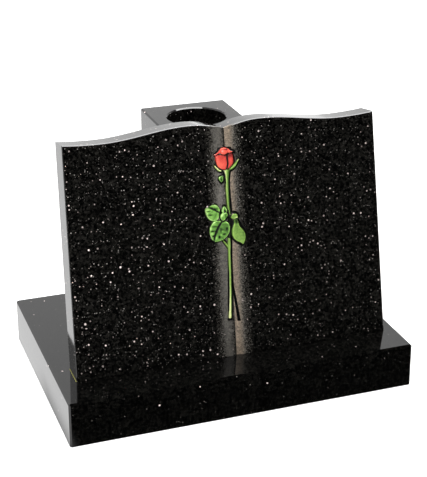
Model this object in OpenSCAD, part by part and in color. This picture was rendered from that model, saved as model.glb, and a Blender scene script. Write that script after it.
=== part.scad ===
// Open-book headstone: a leaning granite tablet with a carved rose down its spine, on a low
// rectangular base, with a block behind it that holds the flower container.
// Origin at the centre of the base's underside. +X right, +Y back, +Z up. Millimetres.

/* [Base] */
// Width of the base
base_w = 610; // [580:5:900]
// Depth of the base, front to back
base_d = 406; // [340:2:600]
// Height of the base
base_h = 78; // [50:1:120]
// Width of the bevel along the base's edges
base_arris = 3; // [1:0.5:6]

/* [Tablet] */
// Width of the tablet at its foot
tablet_w = 558; // [460:2:576]
// Distance that each side of the tablet draws in on its way up
tablet_taper = 7; // [0:0.5:20]
// Length of the tablet's sides, measured up the slope
tablet_h = 393; // [320:1:480]
// Thickness of the tablet
tablet_t = 48; // [38:1:70]
// Angle that the tablet leans back
tablet_lean = 10; // [0:0.5:15]
// Distance from the base's front edge back to the foot of the tablet's face
tablet_setback = 66; // [20:1:80]
// Distance that the tablet stands to the right of the base's middle
tablet_shift = 4; // [-8:1:8]
// Width of the bevel round the tablet's face
face_arris = 1.2; // [1:0.1:6]
// Width of the bevel round the tablet's back
back_arris = 2; // [1:0.5:6]

/* [Book edge] */
// Distance from the spine to the highest point of each page
crown_at = 62; // [50:1:90]
// Height of that point above the tablet's top corners
crown_rise = 10; // [4:0.5:20]
// Distance from the spine to the lowest point of each page
dip_at = 208; // [160:1:225]
// Depth of that point below the tablet's top corners
dip_drop = 3.5; // [1:0.5:10]
// Depth of the notch between the pages, below the crowns
notch_drop = 11.5; // [4:0.5:20]

/* [Spine] */
// Distance that the crease lies to the right of the tablet's middle
spine_shift = 2; // [-8:0.5:8]
// Width of the trough down the spine
spine_w = 46; // [30:1:80]
// Depth of the trough at the crease
spine_depth = 4; // [1:0.5:8]

/* [Rose] */
// Distance from the tablet's top corners down to the top of the bud, up the slope
rose_from_top = 33; // [20:1:60]
// Height of the stem's cut end above the foot of the tablet
stem_foot = 65; // [30:1:90]
// Depth of the ground that is cut away round the rose
carve_depth = 7; // [4:0.5:10]
// Width of the cut ground that shows round each leaf
carve_margin = 2.4; // [0.5:0.1:4]
// Height of the highest petal below the tablet's face
relief_below_face = 1; // [0.5:0.1:2]

/* [Vase block] */
// Width of the block
block_w = 156; // [130:2:260]
// Depth of the block at its top
block_d = 155; // [130:1:180]
// Height of the block above the base
block_h = 370; // [200:5:380]
// Width of the bevel along the block's edges
block_arris = 2.5; // [1:0.5:5]
// Diameter of the hole for the flower container
hole_d = 102; // [60:1:122]
// Depth of that hole
hole_depth = 120; // [60:5:180]
// Width of the bevel at the hole's mouth
hole_bevel = 2; // [0.5:0.5:4]

/* [Hidden] */
over = 1; // how far a cut runs past the stone
crown_steps = 13; // facets from the notch up to a page's crown
ogee_steps = 25; // facets from the crown to the dip
rise_steps = 12; // facets from the dip to the corner
spine_steps = 12; // facets on each side of the trough
leaf_steps = 12; // stations along a leaf, petal or stem
leaf_rows = 3; // facets from a leaf's middle to its edge
edge_share = 0.45; // share of a leaf's height that its edge stands above the cut ground
hole_sides = 96; // facets round the hole for the flower container
granite = [0.11, 0.11, 0.12];
granite_face = [0.07, 0.07, 0.08];

tablet_y = -base_d/2 + tablet_setback; // foot of the tablet's face
tablet_back = tablet_y + tablet_t/cos(tablet_lean); // foot of the tablet's back
page_w = tablet_w/2 - tablet_taper; // from the tablet's middle to a top corner
block_front_top = tablet_back + block_h*tan(tablet_lean); // block's front edge at its top
block_back = block_front_top + block_d;
hole_y = block_front_top + block_d/2;

// ---- outlines ----------------------------------------------------------------------------

// A smooth half wave from a to b as s goes from 0 to 1.
function wave(a, b, s) = a + (b - a)*(1 - cos(180*s))/2;

// Height of the top edge at x, from the foot of the tablet's sides: an arc up from the
// notch to the crown, an ogee down to the dip and a rise to the corner.
function page_edge(x) =
    let (d = abs(x))
    tablet_h + (
        d < crown_at ? crown_rise - notch_drop*pow(1 - d/crown_at, 2)
        : d < dip_at ? wave(crown_rise, -dip_drop, (d - crown_at)/(dip_at - crown_at))
        : -dip_drop*(1 - pow((d - dip_at)/(page_w - dip_at), 2)));

// The places along a page where the top edge has a point, from the spine outwards.
function page_places() = concat(
    [for (i = [0:crown_steps - 1]) crown_at*i/crown_steps],
    [for (i = [0:ogee_steps - 1]) crown_at + (dip_at - crown_at)*i/ogee_steps],
    [for (i = [0:rise_steps]) dip_at + (page_w - dip_at)*i/rise_steps]);

// The tablet's outline, drawn in by a bevel of width a.
function book_outline(a) =
    let (page = page_places(), n = len(page), k = 1 - a/page_w, foot = tablet_w/2 - a,
         right_k = k - spine_shift/page_w, left_k = k + spine_shift/page_w,
         right = [for (i = [n - 1:-1:0]) [page[i]*right_k, page_edge(page[i]*k) - a]],
         left = [for (i = [1:n - 1]) [-page[i]*left_k, page_edge(page[i]*k) - a]])
    concat([[-foot - spine_shift, a], [foot - spine_shift, a]], right, left);

// Depth of the trough at x: two round shoulders that meet in the crease.
function trough(x) =
    let (half = spine_w/2, r = (half*half + spine_depth*spine_depth)/(2*spine_depth))
    abs(x) > half ? 0 : -(r - sqrt(r*r - pow(half - abs(x), 2)));

// ---- carving ------------------------------------------------------------------------------

// A point on a quadratic curve from a to c, pulled towards b.
function curve(a, b, c, s) = a*(1 - s)*(1 - s) + b*2*s*(1 - s) + c*s*s;
function curve_points(a, b, c) = [for (i = [0:leaf_steps]) curve(a, b, c, i/leaf_steps)];

// Unit vector across a path at its station i.
function across(path, i) =
    let (n = len(path) - 1, t = path[min(i + 1, n)] - path[max(i - 1, 0)])
    [-t[1], t[0]]/norm(t);

// Half widths along a leaf: widest at the share peak of its length, and never quite nothing.
function leaf_widths(width, peak) =
    [for (i = [0:leaf_steps]) let (s = i/leaf_steps)
        0.4 + width/2*pow(sin(180*pow(s, ln(0.5)/ln(peak))), 0.75)];

// Half widths that run evenly from a to b.
function taper(a, b) = [for (i = [0:leaf_steps]) a + (b - a)*i/leaf_steps];

// The flat outline of a leaf or stem, grown by g.
function leaf_outline(path, half, g) =
    let (n = len(path) - 1,
         a = path[0] - g*(path[1] - path[0])/norm(path[1] - path[0]),
         b = path[n] + g*(path[n] - path[n - 1])/norm(path[n] - path[n - 1]),
         p = [for (i = [0:n]) i == 0 ? a : i == n ? b : path[i]])
    concat([for (i = [0:n]) p[i] + across(path, i)*(half[i] + g)],
           [for (i = [n:-1:0]) p[i] - across(path, i)*(half[i] + g)]);

// The ground cut away round one leaf.
module pocket(path, half) {
    translate([0, 0, -carve_depth]) linear_extrude(carve_depth + over)
        polygon(leaf_outline(path, half, carve_margin));
}

// One leaf, petal or stem: rounded across from the cut ground up to rise below the face,
// with a groove down its middle.
module relief(path, half, rise, groove) {
    n = len(path) - 1;
    m = 2*leaf_rows;
    bottom = -carve_depth - over;
    side = -carve_depth + (carve_depth - rise)*edge_share;
    height = -rise - side;
    ring = m + 3; // points on one station: the top's, then two on the bottom
    at = function (i, t) path[i] + across(path, i)*half[i]*t;
    top = function (i, j) let (t = (j - leaf_rows)/leaf_rows, p = at(i, t))
        [p[0], p[1], side + height*sqrt(max(0, 1 - t*t)) - (j == leaf_rows ? groove : 0)];
    station = function (i) concat(
        [for (j = [0:m]) top(i, j)],
        [for (t = [1, -1]) let (p = at(i, t)) [p[0], p[1], bottom]]);
    points = [for (i = [0:n]) each station(i)];
    sides = [for (i = [0:n - 1], j = [0:ring - 1])
        let (a = i*ring + j, b = i*ring + (j + 1) % ring, c = a + ring, d = b + ring)
        each [[a, b, d], [a, d, c]]];
    ends = [for (j = [1:ring - 2]) each [[0, j + 1, j], [n*ring, n*ring + j, n*ring + j + 1]]];
    polyhedron(points, concat(sides, ends), convexity = 4);
}

// ---- the rose's pieces --------------------------------------------------------------------
// Places are across from the spine and up from the foot of the tablet's face.

bud_top = tablet_h - rose_from_top;
bud_foot = [-2, bud_top - 38.5];
bud_head = [-2, bud_top - 2];
node_at = [2.3, bud_top - 118]; // where the leaves leave the stem

bud = curve_points(bud_foot, [-3, bud_top - 20], bud_head);
bud_half = [for (i = [0:leaf_steps]) let (s = i/leaf_steps) 3 + 12.6*pow(sin(155*pow(s, 0.62)), 0.8)];
rim = curve_points([-20, bud_top - 11.5], [-4, bud_top - 5], [14.5, bud_top - 8.8]);
rim_half = leaf_widths(9, 0.5);
left_sepal = curve_points([-9.2, bud_top - 39], [-15, bud_top - 38], [-21.2, bud_top - 28.2]);
right_sepal = curve_points([5.5, bud_top - 38.6], [12.9, bud_top - 37.8], [22.8, bud_top - 22.6]);
sepal_half = taper(2, 0.7);
upper_stem = curve_points(bud_foot + [2.5, 0], bud_foot + [1.8, -37], node_at);
upper_stem_half = [for (i = [0:leaf_steps]) 2.4 + 4*pow(1 - i/leaf_steps, 7)];
lower_stem = curve_points(node_at + [-1.5, -14], node_at + [-5.5, -92], [-8.2, stem_foot]);
lower_stem_half = taper(2, 2.6);
twig = curve_points([-12.5, bud_top - 157.5], [-8.5, bud_top - 162.5], [-3.5, bud_top - 171]);
twig_half = taper(1.1, 1.4);
// the ground between the leaves, where the stem passes behind them
hollow = curve_points(node_at + [0, 4], node_at + [1, -16], node_at + [-3, -38]);
hollow_half = taper(1.5, 2.5);

leaves = [ // [path, half widths]
    [curve_points([-6.3, bud_top - 47.5], [-12.2, bud_top - 50.4], [-9.4, bud_top - 59]),
     leaf_widths(8.4, 0.5)],
    [curve_points([-14.8, bud_top - 108.4], [-28, bud_top - 109.3], [-40.6, bud_top - 101.3]),
     leaf_widths(27, 0.45)],
    [curve_points([-5.5, bud_top - 112.3], [-6.6, bud_top - 105.3], [-8.4, bud_top - 98.4]),
     leaf_widths(9, 0.42)],
    [curve_points([-2.4, bud_top - 112.4], [-8, bud_top - 114.5], [-14, bud_top - 122.2]),
     leaf_widths(10, 0.5)],
    [curve_points([-10.5, bud_top - 124.4], [-17.5, bud_top - 138], [-29.4, bud_top - 157.6]),
     leaf_widths(34, 0.45)],
    [curve_points([12, bud_top - 116.5], [11.2, bud_top - 140.2], [22, bud_top - 168]),
     leaf_widths(22.5, 0.68)],
    [curve_points([3.4, bud_top - 118.3], [9.3, bud_top - 112], [15, bud_top - 120.3]),
     leaf_widths(8.4, 0.55)]];

module each_rose_piece() {
    // [path, half widths, depth of its top below the face, groove]
    parts = concat(
        [[bud, bud_half, relief_below_face, 0],
         [rim, rim_half, relief_below_face, 0],
         [left_sepal, sepal_half, relief_below_face + 1.5, 0],
         [right_sepal, sepal_half, relief_below_face + 1.5, 0],
         [upper_stem, upper_stem_half, relief_below_face + 1, 0],
         [lower_stem, lower_stem_half, relief_below_face + 1, 0],
         [twig, twig_half, relief_below_face + 2, 0]],
        [for (leaf = leaves) [leaf[0], leaf[1], relief_below_face + 0.5, 0.8]]);
    for (p = parts) {
        $path = p[0];
        $half = p[1];
        $rise = p[2];
        $groove = p[3];
        children();
    }
}

// ---- the stones ---------------------------------------------------------------------------

// Moves from the face's own axes (x across, y up the slope, z out of the face) to the base's.
module on_face() {
    translate([tablet_shift + spine_shift, tablet_y, base_h]) rotate([90 - tablet_lean, 0, 0])
        children();
}

// The layer of the tablet between outlines a at height z1 and b at height z2.
module bevel_layer(a, z1, b, z2) {
    lower = book_outline(a);
    upper = book_outline(b);
    n = len(lower);
    points = concat([for (p = lower) [p[0], p[1], z1]], [for (p = upper) [p[0], p[1], z2]]);
    sides = [for (i = [0:n - 1]) let (j = (i + 1) % n) [i, i + n, j + n, j]];
    // each flat side is a fan from the foot's left corner, which sees the whole outline
    flats = [for (i = [1:n - 2]) each [[0, i, i + 1], [n, n + i + 1, n + i]]];
    polyhedron(points, concat(flats, sides), convexity = 4);
}

// A block with bevels of width a along its upright edges and round its top. Its front leans
// back by the distance lean at the top.
module bevelled_block(size, a, lean = 0) {
    w = size[0];
    d = size[1];
    h = size[2];
    intersection() {
        translate([-w/2, 0, 0]) linear_extrude(h)
            polygon([[a, 0], [w - a, 0], [w, a], [w, d - a], [w - a, d], [a, d], [0, d - a], [0, a]]);
        translate([0, d + over, 0]) rotate([90, 0, 0]) linear_extrude(d + 2*over)
            polygon([[-w/2, 0], [w/2, 0], [w/2, h - a], [w/2 - a, h], [a - w/2, h], [-w/2, h - a]]);
        translate([-w/2 - over, 0, 0]) rotate([90, 0, 90]) linear_extrude(w + 2*over)
            polygon([[0, 0], [d, 0], [d, h - a], [d - a, h], [lean + a, h], [lean*(1 - a/h), h - a]]);
    }
}

module base() {
    color(granite) translate([0, -base_d/2, 0]) bevelled_block([base_w, base_d, base_h], base_arris);
}

module slab() {
    translate([0, 0, back_arris - tablet_t])
        linear_extrude(tablet_t - back_arris - face_arris) polygon(book_outline(0));
    bevel_layer(0, -face_arris, face_arris, 0);
    bevel_layer(back_arris, -tablet_t, 0, back_arris - tablet_t);
}

module spine_cut() {
    half = spine_w/2;
    curve = [for (i = [-spine_steps:spine_steps]) let (x = half*i/spine_steps) [x, trough(x)]];
    translate([0, tablet_h + crown_rise + over, 0]) rotate([90, 0, 0])
        linear_extrude(tablet_h + crown_rise + 2*over)
            polygon(concat(curve, [[half, over], [-half, over]]));
}

module tablet() {
    color(granite_face) difference() {
        on_face() {
            difference() {
                slab();
                spine_cut();
                each_rose_piece() pocket($path, $half);
                pocket(hollow, hollow_half);
            }
            each_rose_piece() relief($path, $half, $rise, $groove);
        }
        // the foot is cut level, to stand on the base
        translate([-base_w, -base_d, 0]) cube([2*base_w, 2*base_d, base_h]);
    }
}

module vase_block() {
    color(granite) difference() {
        translate([0, tablet_back, base_h])
            bevelled_block([block_w, block_back - tablet_back, block_h], block_arris,
                           block_front_top - tablet_back);
        translate([0, hole_y, base_h + block_h]) {
            translate([0, 0, -hole_depth])
                cylinder(d = hole_d, h = hole_depth + over, $fn = hole_sides);
            translate([0, 0, -hole_bevel])
                cylinder(d1 = hole_d, d2 = hole_d + 2*hole_bevel, h = hole_bevel, $fn = hole_sides);
        }
    }
}

base();
tablet();
vase_block();
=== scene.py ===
"""Open-book granite headstone: stone finishes, the carved and painted rose, studio light and camera."""

import math

import bpy
import numpy as np
from mathutils import Euler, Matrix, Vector

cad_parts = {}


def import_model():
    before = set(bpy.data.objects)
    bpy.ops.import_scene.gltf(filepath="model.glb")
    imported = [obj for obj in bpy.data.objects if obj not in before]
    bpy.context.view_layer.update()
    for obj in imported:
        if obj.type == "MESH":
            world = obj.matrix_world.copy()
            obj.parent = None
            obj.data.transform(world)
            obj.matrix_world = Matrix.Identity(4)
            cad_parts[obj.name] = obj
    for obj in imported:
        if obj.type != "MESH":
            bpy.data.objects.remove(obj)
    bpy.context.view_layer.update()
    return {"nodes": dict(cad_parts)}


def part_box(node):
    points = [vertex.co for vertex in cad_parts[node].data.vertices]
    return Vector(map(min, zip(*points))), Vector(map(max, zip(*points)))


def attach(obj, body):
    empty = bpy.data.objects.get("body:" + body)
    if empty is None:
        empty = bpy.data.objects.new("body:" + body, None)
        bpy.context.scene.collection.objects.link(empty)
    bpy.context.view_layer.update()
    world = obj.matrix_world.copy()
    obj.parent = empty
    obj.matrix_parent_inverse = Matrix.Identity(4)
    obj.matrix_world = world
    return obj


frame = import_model()

MM = 0.001

# ---- places taken from the frame ------------------------------------------------------------

BASE_LOW, BASE_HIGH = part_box("base")
TABLET_LOW, TABLET_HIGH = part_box("tablet")
LEAN = math.radians(10)  # the tablet leans back
SETBACK = 66 * MM  # from the base's front edge to the foot of the tablet's face
SLAB = 48 * MM  # thickness of the tablet
FACE_H = 393 * MM  # length of the tablet's sides, up the slope
SPINE_SHIFT = 2 * MM  # the crease lies to the right of the tablet's middle
FACE_FOOT = Vector(((TABLET_LOW.x + TABLET_HIGH.x) / 2 + SPINE_SHIFT, BASE_LOW.y + SETBACK, BASE_HIGH.z))
FACE_UP = Vector((0, math.sin(LEAN), math.cos(LEAN)))
FACE_OUT = Vector((0, -math.cos(LEAN), math.sin(LEAN)))
TROUGH_HALF = 23.0  # mm, half the width of the trough down the spine
TROUGH_DEPTH = 4.0  # mm, at the crease
TROUGH_RADIUS = (TROUGH_HALF**2 + TROUGH_DEPTH**2) / (2 * TROUGH_DEPTH)  # mm, of each of its two sides
CARVE_DEPTH = 7.0  # mm, ground cut away round the rose
BUD_TOP = 360.0  # mm up the slope


def trough(x):
    """Height of the stone at x mm from the spine, in mm from the face: round shoulders down to the crease."""
    inner = np.clip(TROUGH_HALF - np.abs(x), 0, None)
    return -(TROUGH_RADIUS - np.sqrt(TROUGH_RADIUS**2 - inner**2))


def on_face(u, v, z):
    """Points of the frame for arrays of mm across from the spine, up the slope and out of the face."""
    across = np.stack([u, np.zeros_like(u), np.zeros_like(u)], -1)
    p = across + v[..., None] * np.array(FACE_UP) + z[..., None] * np.array(FACE_OUT)
    return p * MM + np.array(FACE_FOOT)


# ---- node helpers ---------------------------------------------------------------------------


def rgba(r, g, b):
    return (r, g, b, 1.0)


def grey(level):
    return rgba(level, level, level)


class Graph:
    """The nodes of a material or a world. An input is a plain value or another node's socket."""

    def __init__(self, owner):
        owner.use_nodes = True
        self.tree = owner.node_tree
        self.tree.nodes.clear()

    def node(self, kind, settings=None, **inputs):
        """Adds a node. An input goes by its name, with _ for a space, or by i and its number."""
        node = self.tree.nodes.new("ShaderNode" + kind)
        for key, value in (settings or {}).items():
            setattr(node, key, value)
        for key, value in inputs.items():
            numbered = key[0] == "i" and key[1:].isdigit()
            socket = node.inputs[int(key[1:]) if numbered else key.replace("_", " ")]
            if isinstance(value, bpy.types.NodeSocket):
                self.tree.links.new(value, socket)
            else:
                socket.default_value = value
        return node

    def add(self, kind, settings=None, out=0, **inputs):
        """Adds a node and gives one of its outputs."""
        return self.node(kind, settings, **inputs).outputs[out]

    def place(self):
        """Where a point of the object lies in the frame, in metres."""
        return self.add("TexCoord", out=3)

    def math(self, operation, a, b=0.0, c=0.0, clamp=False):
        return self.add("Math", {"operation": operation, "use_clamp": clamp}, i0=a, i1=b, i2=c)

    def vector(self, operation, *values, out=0):
        inputs = {f"i{number}": value for number, value in enumerate(values)}
        return self.add("VectorMath", {"operation": operation}, out=out, **inputs)

    def dot(self, a, b):
        return self.vector("DOT_PRODUCT", a, b, out=1)

    def ramp(self, value, low, high, start=0.0, end=1.0):
        """Runs smoothly from start to end as value goes from low to high."""
        settings = {"interpolation_type": "SMOOTHSTEP"}
        return self.add("MapRange", settings, Value=value,
                        From_Min=low, From_Max=high, To_Min=start, To_Max=end)

    def mix(self, factor, a, b):
        """Colour a where factor is 0, b where it is 1."""
        return self.add("Mix", {"data_type": "RGBA"}, out=2, i0=factor, i6=a, i7=b)

    def colours(self, value, stops):
        """The colour for a value from 0 to 1, from stops of (position, colour)."""
        node = self.node("ValToRGB", i0=value)
        elements = node.color_ramp.elements
        while len(elements) < len(stops):
            elements.new(1.0)
        for element, (position, colour) in zip(elements, stops):
            element.position = position
            element.color = colour
        return node.outputs[0]

    def noise(self, place, scale, detail=2.0, rough=0.5, out=0):
        return self.add("TexNoise", out=out, Vector=place, Scale=scale, Detail=detail, Roughness=rough)

    def surface(self, shader):
        kind = "World" if self.tree.id_data.id_type == "WORLD" else "Material"
        self.node("Output" + kind, Surface=shader)


# ---- granite --------------------------------------------------------------------------------

BLACK = grey(0.0004)
CRYSTAL = rgba(0.018, 0.017, 0.015)
# painted glint: the bright flecks are pale crystals, painted as bright as they shine when the light catches
# them
GLINTING_FLECK = rgba(1.0, 0.84, 0.80)
DIM_FLECK = rgba(0.34, 0.32, 0.30)
STONE_IOR = 1.6
POLISH = 0.06  # roughness of the polished stone

GRAIN = 2.9 * MM  # size of the dark crystals
GRAIN_POWER = 2.3  # the higher it is, the fewer of them stand out
# The layers of flecks: size of the cells, share of the cells that have a fleck, size of the largest fleck,
# seed, brightness of the faintest one, and colour
FLECK_LAYERS = [
    (3.4 * MM, 0.60, 2.4 * MM, 3.1, 0.08, DIM_FLECK),
    (7.0 * MM, 0.42, 3.6 * MM, 7.7, 0.22, GLINTING_FLECK),
    (16.0 * MM, 0.30, 4.2 * MM, 5.2, 0.60, GLINTING_FLECK),
]
SMALLEST, LARGEST = 0.18, 0.50  # a fleck's radius, as shares of its layer's size
FLECK_EDGE = 0.3 * MM  # over which a fleck fades out


def bend(g, place, scale, detail, reach):
    """Pulls places about by up to reach metres, so that crystals have ragged outlines."""
    return g.vector("MULTIPLY_ADD", g.noise(place, scale, detail, out=1), (reach,) * 3, place)


def crystals(g, place, cell):
    """Random numbers from 0 to 1, one for each crystal of a stone with crystals about cell metres across."""
    bent = bend(g, place, 0.9 / cell, 2.0, cell * 0.8)
    voronoi = g.node("TexVoronoi", Vector=bent, Scale=1 / cell)
    return g.add("SeparateColor", Color=voronoi.outputs["Color"])


def flecks(g, place, cell, share, size, seed, faint):
    """Scattered crystals: a share of the cells (metres) have one, up to size across. Gives how bright the
    stone is there: 0 between crystals and from faint to 1 in them."""
    shifted = g.vector("ADD", place, (seed, seed * 0.7, seed * 1.3))
    voronoi = g.node("TexVoronoi", Vector=bend(g, shifted, 1300.0, 1.0, 0.8 * MM), Scale=1 / cell)
    chance, spread, brightness = g.node("SeparateColor", Color=voronoi.outputs["Color"]).outputs[:3]
    shows = g.math("LESS_THAN", chance, share)
    span = (LARGEST - SMALLEST) * size / cell
    radius = g.math("MULTIPLY_ADD", g.math("POWER", spread, 2.0), span, SMALLEST * size / cell)
    inside = g.math("SUBTRACT", radius, voronoi.outputs["Distance"])
    soft = g.math("DIVIDE", inside, FLECK_EDGE / cell, clamp=True)
    level = g.math("MULTIPLY_ADD", g.math("POWER", brightness, 2.0), 1 - faint, faint)
    return g.math("MULTIPLY", g.math("MULTIPLY", soft, shows), level)


def granite_colour(g, place, lively, strength=1.0, bright=1.0):
    """Black stone of fine dark grey crystals, dim flecks and a few bright ones. lively scales how many flecks
    show, strength how far the dark crystals stand out, and bright how pale the flecks are."""
    clouds = g.ramp(g.noise(place, 60.0), 0.25, 0.75, 0.45 * strength, strength)
    grain = g.math("POWER", crystals(g, place, GRAIN), GRAIN_POWER)
    colour = g.mix(g.math("MULTIPLY", grain, clouds), BLACK, CRYSTAL)
    for cell, share, size, seed, faint, tint in FLECK_LAYERS:
        layer = flecks(g, place, cell, share * lively, size, seed, faint)
        colour = g.mix(g.math("MULTIPLY", layer, bright), colour, tint)
    return colour


def granite(name, lively, strength):
    """Polished granite, which swells by a hair so that its reflections aren't perfect."""
    material = bpy.data.materials.new(name)
    g = Graph(material)
    place = g.place()
    colour = granite_colour(g, place, lively, strength)
    bump = g.add("Bump", Strength=0.02, Distance=2 * MM, Height=g.noise(place, 9.0))
    g.surface(g.add("BsdfPrincipled", Base_Color=colour, Roughness=POLISH, IOR=STONE_IOR, Normal=bump))
    return material


# ---- the tablet's stone ---------------------------------------------------------------------

# How much of the stone is blasted, by mm across from the spine, with painted light and shade in it: on the
# left it is most some way from the crease and less right by it, as painted shade, and on the right it is most
# right beside the crease, as painted light where the light falls on that slope
BLAST_AND_LIGHT = [
    (-36, 0.0), (-32, 0.05), (-28, 0.17), (-24, 0.38), (-20, 0.70), (-15, 0.98), (-11, 1.0), (-7, 0.74),
    (-4, 0.46), (-0.8, 0.34), (0.4, 0.90), (3, 1.0), (7, 0.98), (12, 0.72), (16, 0.42), (20, 0.19),
    (24, 0.08), (30, 0.0),
]
# Painted light: how brightly the band is lit on the left of the crease, at a share of the way up the slope
LEFT_PAGE_LIGHT = [(0.05, 0.68), (0.3, 0.85), (0.7, 1.0), (0.95, 0.75)]
# The frost's colour, and the paler, warmer colour it is painted beside the crease on the right, as painted
# light
GREY_FROST = rgba(0.122, 0.113, 0.097)
LIT_FROST = rgba(0.205, 0.158, 0.112)
SPARK = rgba(0.55, 0.48, 0.45)
FROST_ROUGH = 0.55

GROUND_PAINT = grey(0.0025)
GROUND_ROUGH = 0.5
PAINT_HALF = 60.0  # mm, the ground's paint stays this near the spine
PAINT_FOOT, PAINT_TOP = 30.0, BUD_TOP + 8.0  # mm up the slope, from end to end of it


def blasted_band(g, place, across, up, near_face):
    """The band blasted matt down the spine: how far a point is blasted, and the colour that this gives it.
    Both
    hold painted light and shade: the band is painted darker by the crease and on the left page, and paler and
    warmer beside the crease on the right page, where the light falls on that slope.
    """
    left, right = BLAST_AND_LIGHT[0][0], BLAST_AND_LIGHT[-1][0]
    stops = [((u - left) / (right - left), grey(share)) for u, share in BLAST_AND_LIGHT]
    share = g.colours(g.math("MULTIPLY_ADD", across, 1 / (right - left), -left / (right - left)), stops)
    # pits lie shoulder to shoulder where the band is thickest, and further apart towards its edges
    fine = g.ramp(g.noise(place, 700.0), 0.3, 0.7)
    pits = g.math("MULTIPLY_ADD", fine, 0.55, g.math("MULTIPLY", crystals(g, place, 1.9 * MM), 0.45))
    frost = g.math("MULTIPLY_ADD", g.math("SUBTRACT", share, pits), 1.1, 0.5, clamp=True)
    frost = g.math("MULTIPLY", g.math("MULTIPLY", frost, near_face), g.ramp(share, 0.0, 0.04))
    # painted shade: the band is painted darker along the crease
    crease = g.math("MULTIPLY", g.ramp(across, -3.2, -0.5), g.ramp(across, 0.7, -0.3))
    frost = g.math("MULTIPLY", frost, g.math("MULTIPLY_ADD", crease, -0.8, 1.0))

    # painted light and shade: the band is painted dimmer on the left page, by how far up the slope it lies,
    # and paler and warmer beside the crease on the right page
    right_page = g.ramp(across, -0.6, 0.8)
    level = g.colours(g.math("MULTIPLY", up, MM / FACE_H), [(height, grey(level)) for height, level in LEFT_PAGE_LIGHT])
    level = g.mix(right_page, level, grey(1.0))
    grit = crystals(g, g.vector("ADD", place, (1.0, 1.0, 1.0)), 2.2 * MM)
    grit = g.math("MULTIPLY", g.math("MULTIPLY_ADD", grit, 0.9, 0.55), level)
    tint = g.mix(right_page, GREY_FROST, g.mix(g.ramp(across, 6.0, 18.0), LIT_FROST, GREY_FROST))
    colour = g.add("VectorMath", {"operation": "SCALE"}, i0=tint, i3=grit)
    sparks = flecks(g, place, 13.0 * MM, 0.35, 3.6 * MM, 9.1, 0.2)
    return frost, g.mix(g.math("MULTIPLY", sparks, 0.8), colour, SPARK)


def painted_ground(g, across, up, out, near_face):
    """1 on all that is carved, the stone that lies off the trough's own curve, and 0 elsewhere."""
    inner = g.math("MAXIMUM", g.math("SUBTRACT", TROUGH_HALF, g.math("ABSOLUTE", across)), 0.0)
    arc = g.math("SQRT", g.math("SUBTRACT", TROUGH_RADIUS**2, g.math("MULTIPLY", inner, inner)))
    off = g.math("ABSOLUTE", g.math("SUBTRACT", g.math("SUBTRACT", out, arc), -TROUGH_RADIUS))
    ground = g.math("MULTIPLY", g.ramp(off, 0.2, 0.4), near_face)
    ground = g.math("MULTIPLY", ground, g.math("LESS_THAN", g.math("ABSOLUTE", across), PAINT_HALF))
    ground = g.math("MULTIPLY", ground, g.math("LESS_THAN", up, PAINT_TOP))
    return g.math("MULTIPLY", ground, g.math("GREATER_THAN", up, PAINT_FOOT))


def tablet_stone():
    """Granite with the blasted band down the spine and black paint on the ground cut round the rose, with
    painted light and shade in the band and in the flecks.
    """
    material = bpy.data.materials.new("tablet_granite")
    g = Graph(material)
    place = g.place()
    from_foot = g.vector("SUBTRACT", place, FACE_FOOT)
    across = g.dot(from_foot, (1 / MM, 0, 0))
    up = g.dot(from_foot, FACE_UP / MM)
    out = g.dot(from_foot, FACE_OUT / MM)
    near_face = g.ramp(out, -CARVE_DEPTH - 2.0, -CARVE_DEPTH - 1.0)
    frost, blasted = blasted_band(g, place, across, up, near_face)
    ground = painted_ground(g, across, up, out, near_face)
    # painted light: the flecks are painted palest on the left, the side the key light comes from
    bright = g.ramp(across, -200.0, 200.0, 1.1, 0.62)
    colour = g.mix(frost, granite_colour(g, place, 1.0, bright=bright), blasted)
    colour = g.mix(ground, colour, GROUND_PAINT)
    rough = g.ramp(frost, 0.0, 1.0, POLISH, FROST_ROUGH)
    rough = g.math("MAXIMUM", rough, g.math("MULTIPLY", ground, GROUND_ROUGH))
    pitting = g.math("MULTIPLY", g.noise(place, 1500.0, rough=0.6), frost)
    bump = g.add("Bump", Strength=0.35, Distance=0.6 * MM, Height=pitting)
    g.surface(g.add("BsdfPrincipled", Base_Color=colour, Roughness=rough, IOR=STONE_IOR, Normal=bump))
    return material


for node, stone in (
    # painted shade: the base has far fewer flecks and fainter crystals than the tablet, partly for the less
    # light that falls on it and partly as a finer stone
    ("base", granite("base_granite", 0.09, 0.45)),
    ("vase_block", granite("block_granite", 0.4, 0.7)),
    ("tablet", tablet_stone()),
):
    frame["nodes"][node].data.materials.clear()
    frame["nodes"][node].data.materials.append(stone)

# ---- paint ----------------------------------------------------------------------------------


def paint(name, stops, roughness, gloss=0.4):
    """Stone paint, and its name. The piece's shade, 0 to 1, picks a colour between the stops, with faint
    mottling in the paint; the shade holds the paint's own tone together with painted light and shade."""
    material = bpy.data.materials.new(name)
    g = Graph(material)
    place = g.place()
    shade = g.add("Attribute", {"attribute_name": "shade"}, out=2)
    mottle = g.math("SUBTRACT", g.noise(place, 500.0, 3.0), 0.5)
    colour = g.colours(g.math("MULTIPLY_ADD", mottle, 0.25, shade), stops)
    bump = g.add("Bump", Strength=0.15, Distance=0.3 * MM, Height=g.noise(place, 1800.0))
    g.surface(g.add("BsdfPrincipled", Base_Color=colour, Roughness=roughness, Specular_IOR_Level=gloss,
                    Normal=bump))
    return material, name


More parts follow.
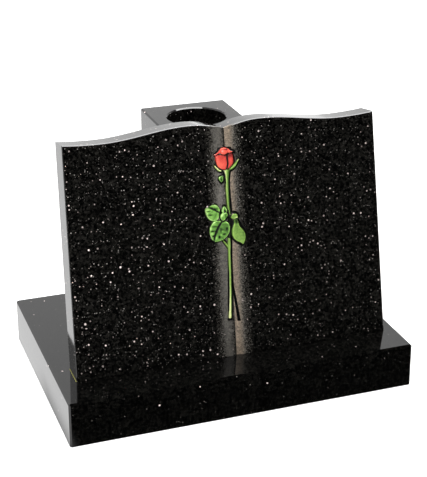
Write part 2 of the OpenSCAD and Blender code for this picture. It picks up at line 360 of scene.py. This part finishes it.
ROSE = paint("rose_paint", [
    (0.0, rgba(0.018, 0.002, 0.003)), (0.3, rgba(0.15, 0.012, 0.012)), (0.6, rgba(0.60, 0.055, 0.04)),
    (0.84, rgba(0.84, 0.125, 0.08)), (1.0, rgba(0.90, 0.42, 0.36)),
], 0.45)
LEAF = paint("leaf_paint", [
    (0.0, rgba(0.003, 0.008, 0.002)), (0.3, rgba(0.03, 0.075, 0.015)), (0.6, rgba(0.12, 0.29, 0.05)),
    (0.85, rgba(0.26, 0.52, 0.11)), (1.0, rgba(0.50, 0.76, 0.27)),
], 0.5, 0.2)
STEM = paint("stem_paint", [
    (0.0, rgba(0.012, 0.03, 0.006)), (0.35, rgba(0.11, 0.22, 0.04)), (0.7, rgba(0.29, 0.47, 0.10)),
    (1.0, rgba(0.74, 0.80, 0.36)),
], 0.5, 0.2)
INK = paint("black_paint", [(0.0, grey(0.001)), (1.0, grey(0.003))], 0.6, 0.05)

# ---- meshes on the face ---------------------------------------------------------------------


def spline(points, s):
    """Smooth curve through evenly spaced points, at shares s of its length: numbers or pairs."""
    points = np.asarray(points, float)
    padded = np.concatenate([[2 * points[0] - points[1]], points, [2 * points[-1] - points[-2]]])
    x = np.clip(np.asarray(s, float), 0, 1) * (len(points) - 1)
    i = np.minimum(x.astype(int), len(points) - 2)
    t = x - i
    a, b, c, d = (padded[i + k] for k in range(4))
    if points.ndim == 2:
        t = t[:, None]
    return 0.5 * (2 * b + (c - a) * t + (2 * a - 5 * b + 4 * c - d) * t**2 + (3 * b - a - 3 * c + d) * t**3)


def solid_patch(name, top, bottom, shade, finish):
    """A closed mesh between two grids of points, with its shade (its paint's tone with painted light and
    shade) stored on the points. Its faces look outwards whichever way the grids run."""
    across, along = top[1:, 1:] - top[:-1, :-1], top[1:, :-1] - top[:-1, 1:]
    if np.cross(across, along).sum((0, 1)) @ np.array(FACE_OUT) < 0:
        top, bottom, shade = top[:, ::-1], bottom[:, ::-1], shade[:, ::-1]
    rows, columns = top.shape[:2]
    count = rows * columns
    index = np.arange(count).reshape(rows, columns)
    quads = np.stack([index[:-1, :-1], index[:-1, 1:], index[1:, 1:], index[1:, :-1]], -1).reshape(-1, 4)
    under = quads[:, ::-1] + count
    loop = np.concatenate([index[0, :-1], index[:-1, -1], index[-1, :0:-1], index[:0:-1, 0]])
    after = np.roll(loop, -1)
    walls = np.stack([after, loop, loop + count, after + count], -1)
    mesh = bpy.data.meshes.new(name)
    points = np.concatenate([top.reshape(-1, 3), bottom.reshape(-1, 3)])
    mesh.from_pydata(points.tolist(), [], np.concatenate([quads, under, walls]).tolist())
    values = np.concatenate([shade.ravel(), shade.ravel()]).astype(np.float32)
    mesh.attributes.new("shade", "FLOAT", "POINT").data.foreach_set("value", values)
    mesh.shade_smooth()
    material, slot = finish
    mesh.materials.append(material)
    obj = bpy.data.objects.new(name, mesh)
    bpy.context.scene.collection.objects.link(obj)
    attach(obj, "root")


class Patch:
    """A leaf, petal or stem on the face. Its two edges, and the rib between them, run from its foot to its
    tip through points of mm across from the spine and mm down from the top of the bud. s runs along it, and t
    across it: 1 on the first edge, 0 on the rib and -1 on the second edge."""

    def __init__(self, first, second, rib=None, steps=(72, 48)):
        s = np.linspace(0, 1, steps[0] + 1)
        # closer together near the edges, where the relief falls away
        t = np.sin(np.linspace(-1, 1, steps[1] + 1) * math.pi / 2)
        first, second = spline(first, s), spline(second, s)
        middle = (first + second) / 2 if rib is None else spline(rib, s)
        self.s, self.t = np.meshgrid(s, t, indexing="ij")
        self.from_rib = np.abs(self.t)  # as a share of the way to the edge
        share = self.from_rib[..., None]
        edge = np.where(self.t[..., None] > 0, first[:, None], second[:, None])
        place = edge * share + middle[:, None] * (1 - share)
        self.u, self.down = place[..., 0], place[..., 1]
        wide = np.where(self.t > 0, np.linalg.norm(first - middle, axis=1)[:, None],
                        np.linalg.norm(second - middle, axis=1)[:, None])
        self.length = np.linalg.norm(np.diff(middle, axis=0), axis=1).sum()
        self.off_rib = self.from_rib * wide
        self.inward = np.minimum((1 - self.from_rib) * wide, np.minimum(self.s, 1 - self.s) * self.length)

    def edge(self, width):
        """0 at the outline, rising to 1 at width mm inside it."""
        near = np.clip(self.inward / width, 0, 1)
        return np.sqrt(1 - (1 - near) ** 2)

    def glow(self, u, down, across, along=None):
        """1 at a place on the piece, falling smoothly to 0 a few mm round it."""
        return np.exp(-(((self.u - u) / across) ** 2) - ((self.down - down) / (along or across)) ** 2)

    def strokes(self, rows):
        """Marks of painted highlight and painted shade, with some of the paint's own light and dark, that
        lighten or darken the piece. A row is a stroke's place, its size across, its strength and, where it
        isn't round, its size down."""
        return [strength * self.glow(u, down, across, *along) for u, down, across, strength, *along in rows]

    def build(self, name, height, shade, finish):
        """Makes the piece, from the floor of the carving up to a height in mm from the face."""
        v = BUD_TOP - self.down
        top = on_face(self.u, v, np.minimum(height, -0.1))
        bottom = on_face(self.u, v, np.full_like(self.u, -CARVE_DEPTH - 0.4))
        solid_patch(name, top, bottom, np.clip(shade, 0, 1), finish)


def groove(distance, width):
    """1 in the middle of a groove, falling smoothly to 0 at width."""
    return np.exp(-((distance / width) ** 2))


def leaf(name, first, second, rib=None, top=-0.9, tone=0.6, veins=5, vein=1.0, midrib=1.0, gap=1.25, rim_highlight=0.3,
         strokes=(), finish=LEAF):
    """A rose leaf: two cushioned lobes with a midrib groove between them and slanting side veins. It is
    painted
    with light and shade: painted shade in the midrib and vein grooves and towards its outline, painted light
    on the swells between the veins, a painted highlight along its edge, and marks of painted highlight and
    painted shade. The dark marks are cut as well as painted.

    top is the height of its lobes and tone their shade. veins is how many side veins a lobe has, and vein how
    strong they are. midrib is how strong the midrib is, gap how wide it is, and rim how pale the painted
    highlight along the edge is."""
    p = Patch(first, second, rib)
    slant = p.s * veins - p.from_rib * 0.8 + 0.25 * (p.t > 0)
    step = slant - np.round(slant)
    line = groove(step / veins * p.length, 0.75) * np.clip(p.s * 6, 0, 1) * np.clip((1 - p.s) * 5, 0, 1)
    line = vein * line * np.clip(p.inward / 2.5, 0, 1) * np.clip(p.off_rib / 2.0, 0, 1)
    rib_line = midrib * groove(p.off_rib, gap) * np.clip(1.1 - p.s, 0, 1) ** 0.5
    swell = vein * np.cos(step * 2 * math.pi) * -np.clip(p.inward / 5, 0, 1) * 0.5
    # marks of painted highlight and painted shade; the dark ones are also cut into the leaf
    shading_marks = p.strokes(strokes)
    dark = sum(np.clip(-stroke, 0, None) for stroke in shading_marks) * np.clip(p.inward / 2, 0, 1)
    cushion = -CARVE_DEPTH - 0.3 + (top + 0.3 + CARVE_DEPTH) * p.edge(2.4)
    height = cushion - 1.1 * line - 2.2 * rib_line - 0.25 * swell - 0.9 * dark
    # a band a little inside the outline, where the painted highlight along the edge goes
    highlight_band = np.exp(-(((p.inward - 1.6) / 1.1) ** 2))
    # painted shade in the midrib and vein grooves, and painted light on the swells between the veins
    shade = tone + rim_highlight * highlight_band - 0.38 * line - 0.85 * rib_line + 0.12 * swell + sum(shading_marks) - 0.5 * dark
    # painted shade: darker near the outline, where the relief falls into the carving, and darkest at the
    # outline itself
    shade = shade - 0.10 * (1 - np.clip(p.inward / 4, 0, 1)) * (1 - highlight_band)
    p.build(name, height, shade * np.clip(0.15 + p.edge(1.3), 0, 1), finish)


def stalk(name, first, second, top, bright, side_shading=0.28, lit=-0.05):
    """A stem or sepal: round across, its middle top mm from the face. bright is its shade from end to end.
    tilt is
    painted light and shade: it is paler by tilt on its first edge's side as far as lit, and darker by tilt on
    the other. It is painted darker at both edges too, as painted shade."""
    p = Patch(first, second, steps=(90, 20))
    profile = np.sqrt(np.clip(1 - p.t**2, 0, 1)) * np.clip(p.edge(0.8), 0.3, 1)
    # the paint's own tone along it, with painted light on its first edge's side and painted shade on the
    # other, then painted shade at both edges
    shade = spline(bright, p.s[:, 0])[:, None] + side_shading * np.tanh(2.2 * (p.t - lit))
    shade = shade - 0.3 * np.clip((p.from_rib - 0.8) / 0.2, 0, 1)
    p.build(name, -CARVE_DEPTH + (top + CARVE_DEPTH) * profile, shade, STEM)


def shadow_paint(name, first, second):
    """Black paint that lies on the stone beside the carving."""
    p = Patch(first, second, steps=(60, 12))
    stone, v = trough(p.u), BUD_TOP - p.down
    shade = np.full_like(p.u, 0.3)
    solid_patch(name, on_face(p.u, v, stone + 0.12), on_face(p.u, v, stone - 0.4), shade, INK)


# ---- the rose -------------------------------------------------------------------------------


def petals():
    """The half-open bud: two wrapped petals, with a seam between them."""
    p = Patch([(-2, 38.4), (-8, 37.1), (-12.8, 33.9), (-16, 29), (-17.8, 22.5), (-18.4, 14.5), (-12.5, 6.3)],
              [(2, 38.4), (6.6, 35.7), (10.6, 32), (13.4, 28), (14.3, 22), (13.4, 13.5), (7.5, 5.5)],
              steps=(100, 88))
    seam = np.interp(p.down, [8, 20, 27, 32, 38], [1.9, 2.4, 3.3, 2.0, -0.2])
    cut = groove(p.u - seam, 1.35) * np.clip((p.s - 0.04) * 8, 0, 1)
    left = np.sqrt(np.clip(1 - ((p.u + 7.5) / 12.5) ** 2, 0, 1))
    right = np.sqrt(np.clip(1 - ((p.u - 9) / 8) ** 2, 0, 1))
    height = -CARVE_DEPTH + (CARVE_DEPTH - 2.1) * p.edge(5.0) + 1.5 * np.where(p.u < seam, left, right)
    # the petals are parted by the seam, and dip below the lip
    height = height - 0.9 * cut - 1.4 * np.clip((15 - p.down) / 5, 0, 1)
    # painted shade in the seam, at the outline and over the right petal, away from the light; the marks add
    # painted highlights on the petals, painted shadow under the lip and painted shade at the foot
    shade = 0.62 - 0.31 * cut - 0.18 * (1 - p.edge(2.0)) - 0.06 * (p.u > seam)
    shade = shade + sum(p.strokes([
        (-15, 22, 3.5, 0.2, 7), (-9, 30, 6, 0.2), (8, 21, 3.5, 0.16, 7), (-10, 18, 5, -0.04, 4),
        (-11, 10.5, 6, -0.3, 3.4), (0, 13.5, 5, -0.26, 4), (8, 13, 6, -0.3), (3, 36, 7, -0.12, 3),
    ]))
    p.build("rose_bud", height, shade, ROSE)


def lip():
    """The petals' folded lip, over the top of the bud."""
    p = Patch([(-21.3, 10.4), (-16, 8.3), (-12.4, 6), (-10, 3), (-7.4, 1.1), (-4, 0.3), (0, 0.9), (3.4, 2),
               (6.8, 3.9), (9.7, 6.6), (14.5, 8)],
              [(-21.4, 12.2), (-17, 12.2), (-13.5, 10.6), (-10.5, 10.3), (-7, 12), (-4, 13.2), (-0.5, 12.6),
               (3.4, 10.9), (8.4, 10.7), (14.5, 9.7)],
              steps=(110, 44))
    fold = groove(p.u + 9.4 - 0.15 * (p.down - 8), 0.9) + groove(p.u - 2.6 - 0.3 * (p.down - 6), 0.9)
    hollow = p.glow(0.5, 4.3, 3.0, 1.0)
    height = -CARVE_DEPTH + (CARVE_DEPTH - 0.3) * p.edge(2.0) - 0.6 * fold - 1.0 * hollow
    # painted shade in the folds, in the hollow and at the outline; the marks add painted highlights on the
    # bulge, the right flap and the left tip, and painted shade at both ends
    shade = 0.74 - 0.16 * fold - 0.18 * (1 - p.edge(1.1)) - 0.42 * hollow
    shade = shade + sum(p.strokes([
        (-5.6, 6, 3, 0.2), (6, 8, 2.5, 0.1), (-19.3, 11.2, 1.6, 0.5), (-14.5, 9.5, 3, -0.22, 1.5),
        (11, 9, 2.5, -0.12, 1.5),
    ]))
    p.build("rose_lip", height, shade, ROSE)


def stems():
    """The sepals under the bud, the stem above and below the leaves, and the large leaf's twig."""
    stalk("sepal_left",
          [(-8.8, 37.6), (-11.5, 36.8), (-14, 34.3), (-17.6, 30.8), (-21.4, 27.4)],
          [(-9, 40.5), (-12, 40.4), (-15.5, 38), (-19, 33.6), (-22, 28.4)],
          -0.7, [0.72, 0.95, 1.05, 1.1])
    stalk("sepal_right",
          [(5, 37.4), (8.6, 34.6), (12.8, 31.6), (16, 28.2), (18.4, 24.4), (22.6, 21.8)],
          [(5, 40.2), (10.2, 39.2), (15, 36.8), (18.4, 32.8), (21, 27.2), (23.8, 22.7)],
          -0.7, [0.26, 0.32, 0.4, 0.6, 1.1], 0.2)
    stalk("stem_upper",
          [(-6.2, 38), (-3.7, 46), (-2.7, 56), (-2.3, 70), (-2, 88), (-1.2, 103), (0.8, 116)],
          [(7.4, 38), (5.6, 46), (4.2, 56), (3.5, 70), (3.4, 88), (3.6, 103), (4, 116)],
          -1.2, [0.78, 0.6, 0.53, 0.45, 0.36, 0.28, 0.22], 0.42, 0.2)
    stalk("stem_lower",
          [(-4.2, 154), (-4.3, 167), (-4.9, 182), (-5.5, 205), (-6.7, 230), (-7.8, 252), (-9.4, 273),
           (-11.2, 294.8)],
          [(1.3, 154), (1.1, 167), (-0.2, 182), (-0.8, 205), (-1.8, 230), (-2.8, 252), (-4, 273),
           (-5, 294.8)],
          -1.3, [0.4, 0.5, 0.5, 0.52, 0.6, 0.75, 0.88, 0.95], 0.16)
    stalk("twig",
          [(-11.6, 156.6), (-7.8, 161.3), (-4.6, 165.8), (-2.4, 170)],
          [(-13.7, 158.2), (-10.3, 163.7), (-7, 168.7), (-4.4, 173.2)],
          -1.8, [0.55, 0.6, 0.6, 0.5], 0.1)


def leaves():
    """The small leaf below the bud, the four left of the stem, and the drooping one with its curled foot."""
    # the last rows of each leaf are marks of painted highlight and painted shade
    leaf("leaf_small",
         [(-6.5, 46.8), (-10, 47.1), (-14.9, 49.5), (-14.2, 53.5), (-12.2, 57), (-9.5, 59.4)],
         [(-6, 47.3), (-5.6, 50), (-5.6, 52.6), (-6.3, 55.2), (-7.8, 57.8), (-9.3, 59.4)],
         tone=0.55, veins=2, vein=0.2, midrib=0.3,
         strokes=[(-13, 49.5, 2, 0.2), (-10, 54, 2, -0.12)])
    leaf("leaf_upper",
         [(-15.2, 107.7), (-15.2, 102), (-18.4, 96.6), (-25.5, 93.2), (-34.5, 92.4), (-40, 96.6)],
         [(-18.2, 110), (-17.8, 116), (-20.3, 121.7), (-29, 122.6), (-36.2, 118.2), (-40.3, 110),
          (-41.8, 103), (-40.6, 97.2)],
         [(-17, 108.6), (-21.5, 106), (-27, 102.3), (-33, 98.6), (-40.2, 96.9)],
         tone=0.72, veins=4, vein=0.3, gap=1.2,
         strokes=[(-37, 100.5, 3, 0.3), (-27, 96, 6, 0.1, 1.6), (-30, 99.3, 2.4, -0.5, 1.2),
                  (-23.5, 101.8, 3.6, -0.42, 1.8), (-36, 104.4, 2.8, -0.5, 0.9),
                  (-32.6, 111, 3.4, -0.55, 1.0), (-38, 108, 1.6, 0.2, 4), (-24, 112, 5, -0.08),
                  (-19.5, 118, 2, 0.2)])
    leaf("leaf_middle_top",
         [(-10.4, 111.8), (-12.1, 107.5), (-11.4, 102.5), (-8.6, 97.6)],
         [(-4, 111.8), (-1.8, 107.8), (-4.2, 102.4), (-8.1, 97.6)],
         [(-7, 111.8), (-7.2, 107), (-7.9, 102), (-8.3, 97.8)],
         tone=0.68, veins=2, vein=0.2, midrib=0.3,
         strokes=[(-7, 108.6, 1.9, -0.7, 2.4), (-11, 105, 1.5, 0.15, 4)])
    leaf("leaf_middle_low",
         [(-2.4, 111.6), (-7, 109.7), (-12.2, 111.1), (-15.2, 116), (-14.3, 121.6)],
         [(-2, 113), (-2.6, 117), (-5.2, 121), (-9.3, 124), (-14, 122.2)],
         tone=0.66, veins=3, vein=0.25, midrib=0.2,
         strokes=[(-12, 114.5, 3, 0.3), (-5.5, 118.5, 1.4, -0.3, 3.5)])
    leaf("leaf_large",
         [(-13.4, 124), (-20, 121.2), (-28, 122.8), (-34.2, 130), (-37, 140), (-35, 149.7), (-29.3, 157.6)],
         [(-12.4, 126.8), (-6, 125.4), (-0.4, 129.3), (1.3, 138), (-1.6, 147.2), (-9.6, 155), (-20, 158.2),
          (-29, 158)],
         [(-13.3, 125.8), (-18, 131), (-22.5, 138), (-26.2, 146.5), (-29.2, 157.7)],
         tone=0.56, vein=0.3, midrib=1.25, gap=1.8, rim_highlight=0.36,
         strokes=[(-27, 126.3, 3, 0.25), (-33.5, 134.5, 2.2, 0.3), (-32.4, 143, 2.8, 0.4),
                  (-33, 151, 1.8, 0.32, 3), (-31, 138.8, 3, -0.5, 0.9), (-29.5, 147.3, 2.3, -0.5, 1.0),
                  (-26.5, 131.8, 3.4, -0.25, 0.9), (-5, 138, 1.9, -0.4, 3), (-10.5, 146.4, 2.6, -0.4, 1.4),
                  (-19.3, 150.3, 1.7, -0.6, 2.2), (-15.8, 139.5, 2, -0.25, 4.5), (-16.4, 147.3, 2.2, 0.35),
                  (-25, 151.2, 2.0, 0.4, 3.2), (-13.6, 141.4, 1.4, 0.35), (-9, 135, 4, -0.1, 5)])
    leaf("leaf_drooping",
         [(8.3, 124), (8.1, 130), (6, 136), (4.4, 142), (4.1, 149), (5.8, 155.7), (10.8, 161.2), (17, 165.2),
          (21.5, 168.7)],
         [(14.7, 122), (16.4, 129), (18.8, 136), (22.8, 141.8), (26.5, 147), (28.2, 154), (27, 161),
          (23.5, 168.4)],
         tone=0.43, veins=8, vein=0.15, midrib=0.08, rim_highlight=0.2, finish=STEM,
         strokes=[(12, 127, 3.5, -0.5, 3.5), (15, 152, 6, 0.08, 8), (8, 150, 1.6, 0.12, 6),
                  (21, 163, 5, 0.1, 4), (24, 148, 2, -0.1, 8)])
    leaf("leaf_curl",
         [(3.1, 117.5), (6, 113.8), (10.6, 113), (14.4, 115.1), (15.8, 121.5)],
         [(3.2, 119.6), (6, 123.4), (9.6, 124.2), (12.2, 122.9), (15.3, 122.9)],
         top=-0.6, tone=0.48, veins=2, vein=0.12, midrib=0.08, rim_highlight=0.12, finish=STEM,
         strokes=[(12.5, 120.5, 2.6, 0.4, 2)])


petals()
lip()
stems()
leaves()
shadow_paint("stem_shadow",
             [(-2, 150), (-2.4, 190), (-1.8, 230), (-0.4, 250), (1.9, 270), (4.6, 300.3)],
             [(2.6, 150), (2.2, 190), (1.9, 230), (3.8, 250), (6.3, 270), (10, 300.3)])

# ---- setting compound -----------------------------------------------------------------------

BEAD_RADIUS = 0.6 * MM


def bead():
    """A thin bead of setting compound where the tablet's sides and back meet the base."""
    left, right = TABLET_LOW.x, TABLET_HIGH.x
    front_y, back_y = FACE_FOOT.y + 2 * MM, FACE_FOOT.y + SLAB / math.cos(LEAN)
    corners = [(left, front_y), (left, back_y), (right, back_y), (right, front_y)]
    curve = bpy.data.curves.new("joint_bead", "CURVE")
    curve.dimensions = "3D"
    curve.bevel_depth = BEAD_RADIUS
    curve.bevel_resolution = 3
    curve.use_fill_caps = True
    line = curve.splines.new("POLY")
    line.points.add(len(corners) - 1)
    for point, (x, y) in zip(line.points, corners):
        point.co = (x, y, BASE_HIGH.z + BEAD_RADIUS * 0.6, 1)
    obj = bpy.data.objects.new("joint_bead", curve)
    bpy.context.scene.collection.objects.link(obj)
    material = bpy.data.materials.new("setting_compound")
    g = Graph(material)
    colour = g.mix(g.noise(g.place(), 300.0), rgba(0.30, 0.28, 0.05), rgba(0.52, 0.50, 0.14))
    g.surface(g.add("BsdfPrincipled", Base_Color=colour, Roughness=0.55))
    curve.materials.append(material)
    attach(obj, "root")


bead()

# ---- floor, light and camera ----------------------------------------------------------------

WHITE = grey(1.0)
MIDDLE = (0, 0, 0.25)  # of the headstone
FLOOR_HALF = 6.0
DARK_SIDE = 0.004  # how bright the studio's dark side is in the polish
BRIGHT_FLOOR = 1.35  # how much brighter the floor behind the stone and to its left is there
SOFT_FILL = 0.35  # light from all round, on what doesn't mirror


def floor():
    """Pale and plain, with the stone's shadow. In the polish it is bright behind the stone and to its left,
    and dark in front of it."""
    mesh = bpy.data.meshes.new("floor")
    corners = [(x * FLOOR_HALF, y * FLOOR_HALF, 0) for x, y in ((-1, -1), (1, -1), (1, 1), (-1, 1))]
    mesh.from_pydata(corners, [], [(0, 1, 2, 3)])
    obj = bpy.data.objects.new("floor", mesh)
    bpy.context.scene.collection.objects.link(obj)
    material = bpy.data.materials.new("floor")
    g = Graph(material)
    path, place = g.node("LightPath"), g.place()
    left = g.ramp(g.dot(place, (1, 0, 0)), BASE_LOW.x + 0.02, BASE_LOW.x - 0.02)
    behind = g.ramp(g.dot(place, (0, 1, 0)), BASE_LOW.y - 0.02, 0.1)
    mirrored = g.math("MULTIPLY_ADD", g.math("MAXIMUM", left, behind), BRIGHT_FLOOR, DARK_SIDE)
    mirrored = g.add("Emission", Color=WHITE, Strength=mirrored)
    plain = g.add("BsdfDiffuse", Color=grey(0.8))
    lift = g.ramp(g.vector("LENGTH", place, out=1), 0.5, 1.6, 0.45, 1.0)
    seen = g.add("AddShader", i0=g.add("Emission", Color=WHITE, Strength=lift), i1=plain)
    shader = g.add("MixShader", i0=path.outputs["Is Glossy Ray"], i1=plain, i2=mirrored)
    g.surface(g.add("MixShader", i0=path.outputs["Is Camera Ray"], i1=shader, i2=seen))
    mesh.materials.append(material)


def world():
    """White to the camera; a soft studio to the object, bright behind and dark on the camera's side."""
    studio = bpy.data.worlds.new("studio")
    bpy.context.scene.world = studio
    g = Graph(studio)
    path = g.node("LightPath")
    behind = g.ramp(g.dot(g.add("TexCoord"), (-0.25, 0.95, 0.1)), -0.35, 0.5, DARK_SIDE, 1.0)
    mirrored = g.math("SUBTRACT", behind, SOFT_FILL)
    strength = g.math("MULTIPLY_ADD", path.outputs["Is Glossy Ray"], mirrored, SOFT_FILL)
    seen = g.math("MAXIMUM", path.outputs["Is Camera Ray"], path.outputs["Is Transmission Ray"])
    strength = g.math("MULTIPLY_ADD", seen, g.math("SUBTRACT", 1.0, strength), strength)
    g.surface(g.add("Background", Color=WHITE, Strength=strength))


def softbox(name, place, target, size, power):
    """A rectangular lamp that shines from a place at a target."""
    lamp = bpy.data.lights.new(name, "AREA")
    lamp.shape = "RECTANGLE"
    lamp.size, lamp.size_y = size
    lamp.energy = power
    obj = bpy.data.objects.new(name, lamp)
    obj.location = place
    obj.rotation_euler = (Vector(target) - Vector(place)).to_track_quat("-Z", "Y").to_euler()
    bpy.context.scene.collection.objects.link(obj)


def camera():
    """Looks at the front left from slightly above, through a long lens with a little downward shift."""
    azimuth, elevation, distance = math.radians(-19.69), math.radians(21.02), 2.302
    aim = Vector((0.0209, 0.0259, 0.3188))
    level = Vector((math.sin(azimuth), -math.cos(azimuth), 0))
    back = level * math.cos(elevation) + Vector((0, 0, math.sin(elevation)))
    data = bpy.data.cameras.new("camera")
    data.sensor_fit = "VERTICAL"
    data.sensor_height = 36
    data.lens = 99.24
    data.shift_y = -0.1017
    obj = bpy.data.objects.new("camera", data)
    obj.location = aim + back * distance
    obj.rotation_euler = Euler((math.pi / 2 - elevation, 0, azimuth))
    bpy.context.scene.collection.objects.link(obj)
    bpy.context.scene.camera = obj


floor()
world()
softbox("key", (-1.9, -1.6, 2.2), MIDDLE, (1.2, 1.2), 66)
softbox("overhead", (0.5, 0.0, 1.9), (0.5, 0.0, 0.0), (1.9, 0.9), 60)
camera()

bpy.context.scene.view_settings.view_transform = "Standard"
